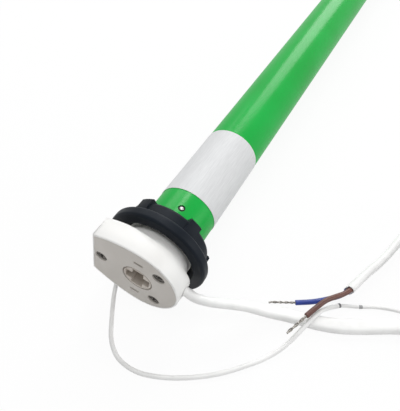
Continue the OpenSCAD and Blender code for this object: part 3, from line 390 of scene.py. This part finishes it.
# Socket insert: darker and warmer than the face plate, as painted shade of its recess
moulded("socket_painted_shade", (190, 181, 171), (206, 198, 189), 0.45, 0.5 * MM, 0.04 * MM)
moulded("black_plastic", (6, 14, 22), (11, 20, 30), 0.46, 0.4 * MM, 0.03 * MM, 0.14)
moulded("bush_plastic", (236, 235, 233), (243, 242, 240), 0.45)
moulded("pom", (232, 229, 218), (240, 238, 229), 0.35)
moulded("tray_plastic", (58, 58, 60), (72, 72, 75), 0.5)
moulded("board", (16, 74, 38), (24, 96, 52), 0.35, 0.2 * MM)
moulded("chip", (26, 26, 27), (38, 38, 39), 0.5)
moulded("transformer_tape", (196, 158, 42), (216, 178, 60), 0.4)
moulded("capacitor_sleeve", (20, 24, 48), (30, 36, 66), 0.3)
moulded("ferrite", (46, 46, 49), (64, 64, 68), 0.6)
moulded("carbon", (28, 28, 28), (46, 46, 46), 0.55)
moulded("damper_rubber", (26, 26, 26), (38, 38, 38), 0.7)
metal("steel", (150, 150, 150), (205, 205, 204), 0.28)
metal("screw_steel", (62, 58, 54), (128, 124, 119), 0.34, stretch=(1, 1, 1), grain=0.8 * MM)
metal("can_steel", (160, 163, 168), (200, 203, 208), 0.3)
metal("shaft_steel", (175, 175, 175), (215, 215, 214), 0.2)
metal("lamination", (96, 98, 102), (130, 132, 137), 0.45, stretch=(0.3, 8, 8))
metal("bronze", (140, 104, 58), (184, 142, 86), 0.4)
metal("copper", (168, 84, 40), (212, 122, 66), 0.3)
metal("pinion_brass", (186, 150, 70), (220, 186, 104), 0.28)
metal("carrier_metal", (140, 140, 143), (178, 178, 182), 0.42)
metal("tinned", (64, 60, 56), (190, 186, 180), 0.34, stretch=(1, 1, 1), grain=0.6 * MM)
extruded("cord_pvc", (236, 236, 235), (245, 245, 244))
extruded("lead_film", (228, 228, 227), (240, 240, 239))
# Grey of the band at the aerial sleeve's end: painted shade of its open end
extruded("end_shade_film", (88, 88, 90), (122, 122, 124))
extruded("pale_mark_film", (150, 150, 151), (178, 178, 179))
extruded("brown_pvc", (82, 46, 38), (108, 66, 54), 0.4)
extruded("blue_pvc", (12, 38, 118), (24, 58, 150), 0.36)
woven("tie", (18, 18, 19), (40, 40, 42))
painted("green_paint", (2, 160, 56), (9, 171, 66))
silvered("label_film", (208, 209, 210), (219, 220, 221))


def dress(piece, slot, finish=None):
    """Gives a piece the material of a slot, or a finish of its own within that slot."""
    piece.data.materials.clear()
    piece.data.materials.append(MATERIALS[finish or slot])
    return piece


def fixed(piece, *nodes):
    """Fixes a piece to the root body, where it may stand for CAD nodes."""
    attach(piece, "root")
    if nodes:
        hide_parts(*nodes)
    return piece


# Curves and directions

def metres(points):
    return np.array(points, float) * MM


def unit(v):
    v = np.asarray(v, float)
    return v / np.linalg.norm(v, axis=-1, keepdims=True)


def ramp(low, high, value):
    """Smooth rise from 0 at low to 1 at high."""
    u = min(max((value - low) / (high - low), 0.0), 1.0)
    return u * u * (3 - 2 * u)


def hermite(u, start, start_slope, end, end_slope):
    """Smooth curve from start at u = 0 to end at u = 1, with the given slopes there."""
    return ((2 * u**3 - 3 * u**2 + 1) * start + (u**3 - 2 * u**2 + u) * start_slope
            + (3 * u**2 - 2 * u**3) * end + (u**3 - u**2) * end_slope)


def lengths_along(path):
    """Distance along a path at each of its points."""
    return np.concatenate([[0], np.cumsum(np.linalg.norm(np.diff(path, axis=0), axis=1))])


def ways_along(path):
    return unit(np.gradient(path, axis=0))


def smooth_route(points, spacing, turns=None, start_way=None):
    """Points about spacing apart on a smooth curve through the given ones, and the turn at each."""
    p = np.array(points, float)
    s = lengths_along(p)
    slope = np.gradient(p, s, axis=0)
    if start_way is not None:
        slope[0] = unit(start_way)
    fine = np.linspace(0, s[-1], int(4 * s[-1] / spacing) + 2)
    i = np.clip(np.searchsorted(s, fine, side="right") - 1, 0, len(p) - 2)
    h = np.diff(s)[i][:, None]
    u = (fine[:, None] - s[i][:, None]) / h
    curve = hermite(u, p[i], h * slope[i], p[i + 1], h * slope[i + 1])
    lengths = lengths_along(curve)
    even = np.linspace(0, lengths[-1], max(2, round(lengths[-1] / spacing)) + 1)
    path = np.column_stack([np.interp(even, lengths, curve[:, k]) for k in range(3)])
    turn = np.zeros(len(even)) if turns is None else np.interp(np.interp(even, lengths, fine), s, turns)
    return path, turn


def level_frames(path, turns):
    """Broad and thin directions of a flat cord: level, then turned about the path."""
    ways = ways_along(path)
    side = unit(np.cross(ways, (0, 0, 1)))
    top = np.cross(side, ways)
    c, s = np.cos(np.radians(turns))[:, None], np.sin(np.radians(turns))[:, None]
    return c * side + s * top, c * top - s * side


def carried_frames(path):
    """Two directions across a path, carried along it without twist."""
    ways = ways_along(path)
    across = [unit(np.cross(ways[0], OFF_AXIS))]
    for way in ways[1:]:
        last = across[-1]
        across.append(unit(last - way * np.dot(last, way)))
    across = np.array(across)
    return across, np.cross(ways, across)


def circle_angles(sides):
    return np.arange(sides) * 2 * math.pi / sides


def around(across, over, angles):
    """Directions at angles between two directions across a path."""
    return np.cos(angles)[:, None] * across + np.sin(angles)[:, None] * over


# Meshes

def shade(mesh, sharp):
    """Smooth shading that keeps edges sharper than an angle."""
    mesh.polygons.foreach_set("use_smooth", [True] * len(mesh.polygons))
    mesh.set_sharp_from_angle(angle=sharp)


def show(name, data):
    """An object of a mesh, camera or light, in the scene."""
    shown = bpy.data.objects.new(name, data)
    bpy.context.scene.collection.objects.link(shown)
    return shown


def mesh_piece(name, verts, faces):
    mesh = bpy.data.meshes.new(name)
    mesh.from_pydata([tuple(v) for v in verts], [], faces)
    made = bmesh.new()
    made.from_mesh(mesh)
    bmesh.ops.recalc_face_normals(made, faces=made.faces)
    made.to_mesh(mesh)
    made.free()
    shade(mesh, MADE_SMOOTH)
    return show(name, mesh)


def skin(rings, loop=False):
    """Vertices and faces of a tube through rings of equal counts: capped at its ends, or joined to a loop."""
    m, n = len(rings), len(rings[0])
    faces = []
    for i in range(m if loop else m - 1):
        ring, next_ring = i * n, (i + 1) % m * n
        for a in range(n):
            b = (a + 1) % n
            faces.append((ring + a, ring + b, next_ring + b, next_ring + a))
    if not loop:
        faces += [tuple(reversed(range(n))), tuple((m - 1) * n + k for k in range(n))]
    return np.concatenate(rings), faces


def joined(skins):
    """Vertices and faces of several skins as one."""
    verts, faces, first = [], [], 0
    for v, f in skins:
        verts.append(v)
        faces += [tuple(i + first for i in face) for face in f]
        first += len(v)
    return np.concatenate(verts), faces


def circle_profile(diameter, sides):
    a = circle_angles(sides)
    return diameter / 2 * np.column_stack([np.cos(a), np.sin(a)])


def flat_profile(width, thickness):
    """Outline of a flat cord: two straight sides and two half rounds."""
    r = thickness / 2
    half = width / 2 - r
    a = np.linspace(-math.pi / 2, math.pi / 2, CORD_ARC_POINTS)
    right = np.column_stack([half + r * np.cos(a), r * np.sin(a)])
    return np.concatenate([right, -right])


def tube_rings(path, frames, profile, scale=1.0):
    """Rings of points: the scaled profile at each point of the path."""
    return [p + scale * (profile[:, :1] * b + profile[:, 1:] * t) for p, b, t in zip(path, *frames)]


def rounded_ends(path, frames, profile, radius, start=True):
    """Rings of a tube whose far end, and by choice its start, is rounded over by radius."""
    ways = ways_along(path)
    size = np.abs(profile).max()

    def cap(i, outward):
        made = []
        for a in np.radians(END_STEPS):
            at = path[i] + outward * ways[i] * radius * math.sin(a)
            scale = 1 - radius / size * (1 - math.cos(a))
            made += tube_rings([at], [f[i:i + 1] for f in frames], profile, scale)
        return made

    first = cap(0, -1)[::-1] if start else []
    return first + tube_rings(path, frames, profile) + cap(len(path) - 1, 1)


def hollow_end(rings, path, frames, profile, depth):
    """Rings that go on from the last one into a hollow of a smaller profile, as a cut sleeve's end."""
    way = ways_along(path)[-1]
    ends = [path[-1], path[-1] - way * depth]
    return [*rings, *tube_rings(ends, [np.repeat(f[-1:], 2, axis=0) for f in frames], profile)]


def turned(name, profile, places, loop=False):
    """Copies of a turned shape, from points of radius and height, at places with their outward ways."""
    angles = circle_angles(RIVET_SIDES)
    skins = []
    for at, way in places:
        across = unit(np.cross(way, (1, 0, 0)))
        ring = around(across, np.cross(way, across), angles)
        skins.append(skin([at + h * way + r * ring for r, h in profile], loop))
    return mesh_piece(name, *joined(skins))


def band(name, at, way, diameter, length):
    """Thin raised band round a wire."""
    path = np.array([at + unit(way) * length * k for k, _ in BAND_PROFILE])
    across, over = carried_frames(path)
    ring = around(across[0], over[0], circle_angles(BAND_SIDES))
    radii = [diameter / 2 + BAND_H * h for _, h in BAND_PROFILE]
    return mesh_piece(name, *skin([p + r * ring for p, r in zip(path, radii)]))


# Rigid pieces with rounded edges

def head_outline(angle):
    """Distance from the axis to the slab's side, by the angle from the middle of its flat."""
    if abs(angle) > math.pi / 2:
        return HEAD_R
    middle = HEAD_SIDE_R - HEAD_R
    return math.sqrt(HEAD_SIDE_R**2 - (middle * math.cos(angle))**2) - middle * abs(math.sin(angle))


def bell(x, outline):
    """Radius of the melted form at x: it falls from the slab's side, then runs out along the shoulder."""
    drop, stretch = outline - MELT_R, HEAD_T - MELT_FROM
    if x < HEAD_T:
        return outline - drop * max(0.0, (x - MELT_FROM) / stretch)**2
    length = MELT_TO - HEAD_T
    fall = (length / SHOULDER_LEN)**2 * SHOULDER_FALL
    u = min((x - HEAD_T) / length, 1.0)
    return hermite(u, MELT_R, -2 * drop / stretch * length, SHOULDER_R - fall, -2 * fall)


def melt_back_edge(made):
    """Rounds the back edge of the head's slab into the shoulder, on its round side and away from the cord."""
    def polar(co):
        angle = math.remainder(math.atan2(co.z, co.y) - HEAD_TURN, 2 * math.pi)
        return math.hypot(co.y, co.z), angle, head_outline(angle)

    def cut(chosen, at, way):
        faces = [f for f in made.faces if chosen(f)]
        geom = {*faces, *(e for f in faces for e in f.edges), *(v for f in faces for v in f.verts)}
        bmesh.ops.bisect_plane(made, geom=list(geom), dist=CUT_PLAY, plane_co=at, plane_no=way)

    def is_side(f):
        r, _, outline = polar(f.calc_center_median())
        return abs(f.normal.x) < SIDE_NORMAL and outline - r < SIDE_PLAY

    def is_back(f):
        return f.normal.x > BACK_NORMAL and abs(f.calc_center_median().x - HEAD_T) < BACK_PLAY

    made.normal_update()
    for k in MELT_CUTS:
        cut(is_side, (MELT_FROM + k * (HEAD_T - MELT_FROM), 0, 0), (1, 0, 0))
    for a in np.radians(np.arange(0, 180, BACK_STEP)):
        cut(is_back, (0, 0, 0), (0, -math.sin(a), math.cos(a)))
    for v in made.verts:
        r, angle, outline = polar(v.co)
        x, degrees = v.co.x, abs(math.degrees(angle))
        share = ramp(*MELT_STARTS, degrees) * (1 - ramp(*MELT_ENDS, degrees))
        inner = outline - SIDE_REACH if x < HEAD_T - BACK_PLAY else SHOULDER_R - SHOULDER_REACH
        if not (MELT_FROM < x < MELT_TO and r > inner and share > 0):
            continue
        across = min(max((outline - r) / (outline - SHOULDER_R), 0.0), 1.0)
        fade = (x - MELT_FROM) / (HEAD_T - MELT_FROM) if x < HEAD_T else (MELT_TO - x) / (MELT_TO - HEAD_T)
        new_x = x + MELT_SHIFT * (2 * across - 1) * fade
        new_r = r + share * (bell(new_x, outline) - r)
        v.co = (x + share * (new_x - x), v.co.y * new_r / r, v.co.z * new_r / r)


def softened(node, width, reshape=None):
    """A copy of a CAD node with its sharp edges rounded over by width, which stands for the node."""
    made = bmesh.new()
    made.from_mesh(cad[node].data)
    bmesh.ops.remove_doubles(made, verts=made.verts, dist=MERGE)
    bmesh.ops.dissolve_limit(made, angle_limit=FLAT_ANGLE, verts=made.verts, edges=made.edges)
    edges = [e for e in made.edges if len(e.link_faces) == 2 and e.calc_face_angle() > EDGE_ANGLE]
    bmesh.ops.bevel(made, geom=edges, offset=width, segments=EDGE_SEGMENTS, profile=0.5, affect="EDGES",
                    clamp_overlap=True)
    if reshape:
        reshape(made)
    bmesh.ops.remove_doubles(made, verts=made.verts, dist=MERGE)
    bmesh.ops.dissolve_degenerate(made, dist=SLIVER, edges=made.edges)
    mesh = bpy.data.meshes.new(node + "_rounded")
    made.to_mesh(mesh)
    made.free()
    shade(mesh, ROUNDED_SMOOTH)
    piece = show(node + "_rounded", mesh)
    piece.modifiers.new("even_normals", "WEIGHTED_NORMAL").keep_sharp = True
    dress(piece, slot_of[node], OWN_FINISH.get(node))
    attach(piece, body_of[node])
    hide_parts(node)


# Rivets, cords and wires

def rivets():
    """Bright domed pins in sunk black rings, painted shade for the gaps round them, round each end of the
    tube.
    """
    ways = [np.array((0, math.cos(a), math.sin(a))) for a in np.radians(RIVET_ANGLES)]
    places = [(np.array((x * MM, 0, 0)) + tube_r * way, way) for x in RIVET_ROWS for way in ways]
    pins = turned("rivet_pins", metres(RIVET_PIN), places)
    shade_rings = turned("rivet_shade_rings", metres(RIVET_SHADE_RING), places, loop=True)
    # The pins are steel; the rings take the black rubber colour as painted shade
    for piece, slot in ((pins, "steel"), (shade_rings, "damper_rubber")):
        fixed(dress(piece, slot), "tube_rivets")


def coil_point(turn):
    """Point of the coil in millimetres, by the turns from its start."""
    half = COIL_TURNS / 2
    a = math.pi + 2 * math.pi * turn
    r = COIL_R - COIL_STEP * (half - abs(turn - half))
    low = floor_z / MM + COIL_LIFT + CORD_W / MM / 2
    z = low + COIL_LAYER * ramp(half - COIL_RISE / 2, half + COIL_RISE / 2, turn)
    return (COIL_MID[0] + r * math.cos(a), COIL_MID[1] + r * math.sin(a), z)


def power_cord():
    """The flat cord from the head, through its coil, to the stripped end."""
    straight = np.array((0, CORD_W / MM, 0))
    coil = [coil_point(i / COIL_RINGS) for i in range(int(COIL_TURNS * COIL_RINGS) + 1)]
    coil = [coil[0] + straight, *coil, coil[-1] + straight]
    points = [CORD_EXIT, *LEAD_ROUTE, *coil, *TAIL_ROUTE]
    turns = [EXIT_TURN, *LEAD_TURN, *[EDGE_UP] * len(coil), *TAIL_TURN]
    path, turn = smooth_route(metres(points), CORD_SPACING, turns, CORD_WAY)
    frames = level_frames(path, turn)
    rings = rounded_ends(path, frames, flat_profile(CORD_W, CORD_T), CORD_END_R, start=False)
    core_room = flat_profile(CORD_W - 2 * SHEATH_WALL, CORD_T - 2 * SHEATH_WALL)
    rings = hollow_end(rings, path, frames, core_room, CUT_DEPTH)
    cord = dress(mesh_piece("power_cord", *skin(rings)), "cord_pvc")
    return fixed(cord, "power_cord_lead", "power_cord_coil", "power_cord_tail"), path


def round_wire(name, slot, node, points, diameter, sides=WIRE_SIDES, start_way=None, bore=None):
    """A round wire along points in millimetres, with its ends rounded and its far end hollow by bore."""
    path, _ = smooth_route(metres(points), WIRE_SPACING, start_way=start_way)
    frames = carried_frames(path)
    rings = rounded_ends(path, frames, circle_profile(diameter, sides), WIRE_END * diameter)
    if bore:
        rings = hollow_end(rings, path, frames, circle_profile(bore, sides), CUT_DEPTH)
    return fixed(dress(mesh_piece(name, *skin(rings)), slot), node), path


def strands(name, points, diameter, twist_pitch):
    """Tinned strands twisted together as an oval bundle, with loose ends of uneven length."""
    path, _ = smooth_route(metres(points), STRAND_SPACING)
    across, over = carried_frames(path)
    along = lengths_along(path)
    twist = 2 * math.pi * along / twist_pitch
    wide, thin = around(across, over, twist), around(over, -across, twist)
    loose = np.clip((along - along[-1] + LOOSE_LEN) / LOOSE_LEN, 0, 1) ** 2
    out = diameter * (1 + LOOSE_SPREAD * loose)[:, None]
    profile = circle_profile(diameter, STRAND_SIDES)
    skins = []
    for k, (w, t) in enumerate(STRAND_PLACES):
        shorter_by = 2 * (k % 3)
        line = (path + out * (w * wide + t * thin))[:len(path) - shorter_by]
        skins.append(skin(rounded_ends(line, carried_frames(line), profile, STRAND_END_R, start=False)))
    return fixed(dress(mesh_piece(name, *joined(skins)), "tinned"), "bare_conductors")


def strap():
    """Woven strap round the coil: a flat loop with rounded corners and a lapped end on top."""
    low, high = (np.array(c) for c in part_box("cord_tie"))
    (left, bottom), (right, top) = low[1:] + TIE_CORNER, high[1:] - TIE_CORNER
    loop = []
    for k, mid in enumerate([(right, top), (left, top), (left, bottom), (right, bottom)]):
        for a in np.radians(np.arange(0, 91, TIE_STEP)) + k * math.pi / 2:
            out = np.array([math.cos(a), math.sin(a)])
            loop.append((mid + TIE_CORNER * out, out))
        if k == 0:
            up = np.array([0.0, 1.0])
            loop += [(np.array([y, high[2]]), up) for y in np.linspace(right, left, TIE_TOP_POINTS)[1:-1]]
    x0, x1 = low[0], high[0]
    rings = []
    for at, out in loop:
        lapped = out[1] > UPRIGHT and at[0] < (low[1] + high[1]) / 2
        inner, outer, edge = -TIE_T, TIE_LAP if lapped else 0, TIE_EDGE
        section = [(x0 + edge, inner), (x1 - edge, inner), (x1, inner + edge), (x1, outer - edge),
                   (x1 - edge, outer), (x0 + edge, outer), (x0, outer - edge), (x0, inner + edge)]
        rings.append([(x, *(at + h * out)) for x, h in section])
    return fixed(dress(mesh_piece("coil_strap", *skin(rings, loop=True)), "tie"), "cord_tie")


# Camera, floor and light

def make_camera():
    data = bpy.data.cameras.new("camera")
    data.lens = CAMERA_LENS
    data.clip_start = CAMERA_CLIP
    camera = show("camera", data)
    camera.location = CAMERA_AT
    camera.rotation_mode = "QUATERNION"
    camera.rotation_quaternion = CAMERA_FORWARD.to_track_quat("-Z", "Y")
    bpy.context.scene.camera = camera


def seen_directly(tree):
    """1 for camera, glossy and transmission rays, which see the white background."""
    path = tree.nodes.new("ShaderNodeLightPath")
    highest = path.outputs["Is Camera Ray"]
    for name in ("Is Glossy Ray", "Is Transmission Ray"):
        larger = tree.nodes.new("ShaderNodeMath")
        larger.operation = "MAXIMUM"
        tree.links.new(highest, larger.inputs[0])
        tree.links.new(path.outputs[name], larger.inputs[1])
        highest = larger.outputs[0]
    return highest


def make_world():
    """White to rays that see it directly, and a plain level of light to the rest."""
    world = bpy.data.worlds.new("studio")
    world.use_nodes = True
    bpy.context.scene.world = world
    tree = world.node_tree
    background = tree.nodes["Background"]
    background.inputs["Color"].default_value = (1, 1, 1, 1)
    mapped = tree.nodes.new("ShaderNodeMapRange")
    mapped.inputs["To Min"].default_value = AMBIENT
    mapped.inputs["To Max"].default_value = 1.0
    tree.links.new(seen_directly(tree), mapped.inputs["Value"])
    tree.links.new(mapped.outputs["Result"], background.inputs["Strength"])


def make_floor():
    """White floor that keeps a soft shadow: camera rays see part of it lit by itself."""
    corners = [(x * FLOOR_HALF, y * FLOOR_HALF, floor_z) for x, y in ((-1, -1), (1, -1), (1, 1), (-1, 1))]
    floor = mesh_piece("floor", corners, [(0, 1, 2, 3)])
    material = bpy.data.materials.new("floor")
    material.use_nodes = True
    tree = material.node_tree
    shader = tree.nodes["Principled BSDF"]
    shader.inputs["Base Color"].default_value = (FLOOR_GREY, FLOOR_GREY, FLOOR_GREY, 1)
    shader.inputs["Roughness"].default_value = FLOOR_ROUGHNESS
    shader.inputs["Specular IOR Level"].default_value = FLOOR_GLOSS
    white = tree.nodes.new("ShaderNodeEmission")
    mix = tree.nodes.new("ShaderNodeMixShader")
    share = tree.nodes.new("ShaderNodeMapRange")
    share.inputs["To Max"].default_value = FLOOR_GLOW
    tree.links.new(seen_directly(tree), share.inputs["Value"])
    tree.links.new(share.outputs["Result"], mix.inputs["Fac"])
    tree.links.new(shader.outputs["BSDF"], mix.inputs[1])
    tree.links.new(white.outputs["Emission"], mix.inputs[2])
    tree.links.new(mix.outputs["Shader"], tree.nodes["Material Output"].inputs["Surface"])
    floor.data.materials.append(material)


def softbox(name, direction, distance, side, power):
    """Square area light that looks back at the head from a direction."""
    data = bpy.data.lights.new(name, "AREA")
    data.shape = "SQUARE"
    data.size = side
    data.energy = power
    lamp = show(name, data)
    way = Vector(direction).normalized()
    lamp.location = LAMP_AIM + way * distance
    lamp.rotation_mode = "QUATERNION"
    lamp.rotation_quaternion = way.to_track_quat("Z", "Y")


# Stage and rigid pieces
make_camera()
make_world()
make_floor()
for name, settings in SOFTBOXES.items():
    softbox(name, *settings)
for node, slot in slot_of.items():
    dress(cad[node], slot, OWN_FINISH.get(node))
for node, width in EDGE_WIDTHS.items():
    softened(node, width * MM, melt_back_edge if node == "head_housing" else None)
rivets()


# Power cord, with the cores that leave its cut end side by side
cord, cord_path = power_cord()
tail_way = unit(np.subtract(TAIL_ROUTE[-1], TAIL_ROUTE[-2]))
tail_inside = TAIL_ROUTE[-1] - tail_way * CUT_DEPTH / MM
tail_broad = level_frames(np.array(TAIL_ROUTE[-2:]), TAIL_TURN[-2:])[0][-1]
core_side = tail_broad * (CORD_W - CORD_T) / 2 / MM
brown, _ = round_wire("brown_core_wire", "brown_pvc", "brown_core",
                      [tail_inside + core_side, TAIL_ROUTE[-1] + core_side, *BROWN_ROUTE],
                      CORE_D, start_way=tail_way)
blue, _ = round_wire("blue_core_wire", "blue_pvc", "blue_core",
                     [tail_inside - core_side, TAIL_ROUTE[-1] - core_side, *BLUE_ROUTE],
                     CORE_D, start_way=tail_way)
brown_strands = strands("brown_strands", BROWN_BARE_ROUTE, BROWN_STRAND_D, BROWN_TWIST)
blue_strands = strands("blue_strands", BLUE_BARE_ROUTE, BLUE_STRAND_D, BLUE_TWIST)
strap()


# Aerial, with a band at the sleeve's end, grey as painted shade of its open end, and one on the inner lead
aerial, aerial_path = round_wire("aerial_wire", "cord_pvc", "aerial_sleeve", [AERIAL_EXIT, *AERIAL_ROUTE],
                                 AERIAL_D, start_way=AERIAL_WAY, bore=AERIAL_LEAD_D + AERIAL_PLAY)
aerial_lead, _ = round_wire("aerial_lead_wire", "lead_film", "aerial_lead", AERIAL_LEAD_ROUTE,
                            AERIAL_LEAD_D, AERIAL_LEAD_SIDES)
aerial_end_shade_band = band("aerial_end_shade_band", aerial_path[-1], ways_along(aerial_path)[-1], AERIAL_D, SLEEVE_BAND)
lead_bend, lead_next = metres(AERIAL_LEAD_ROUTE[1:3])
lead_mark = band("aerial_lead_mark", lead_bend, lead_next - lead_bend, AERIAL_LEAD_D, LEAD_BAND)
for piece, finish in ((aerial_end_shade_band, "end_shade_film"), (lead_mark, "pale_mark_film")):
    fixed(dress(piece, "damper_rubber", finish))


# Render settings
bpy.context.scene.view_settings.view_transform = "Standard"
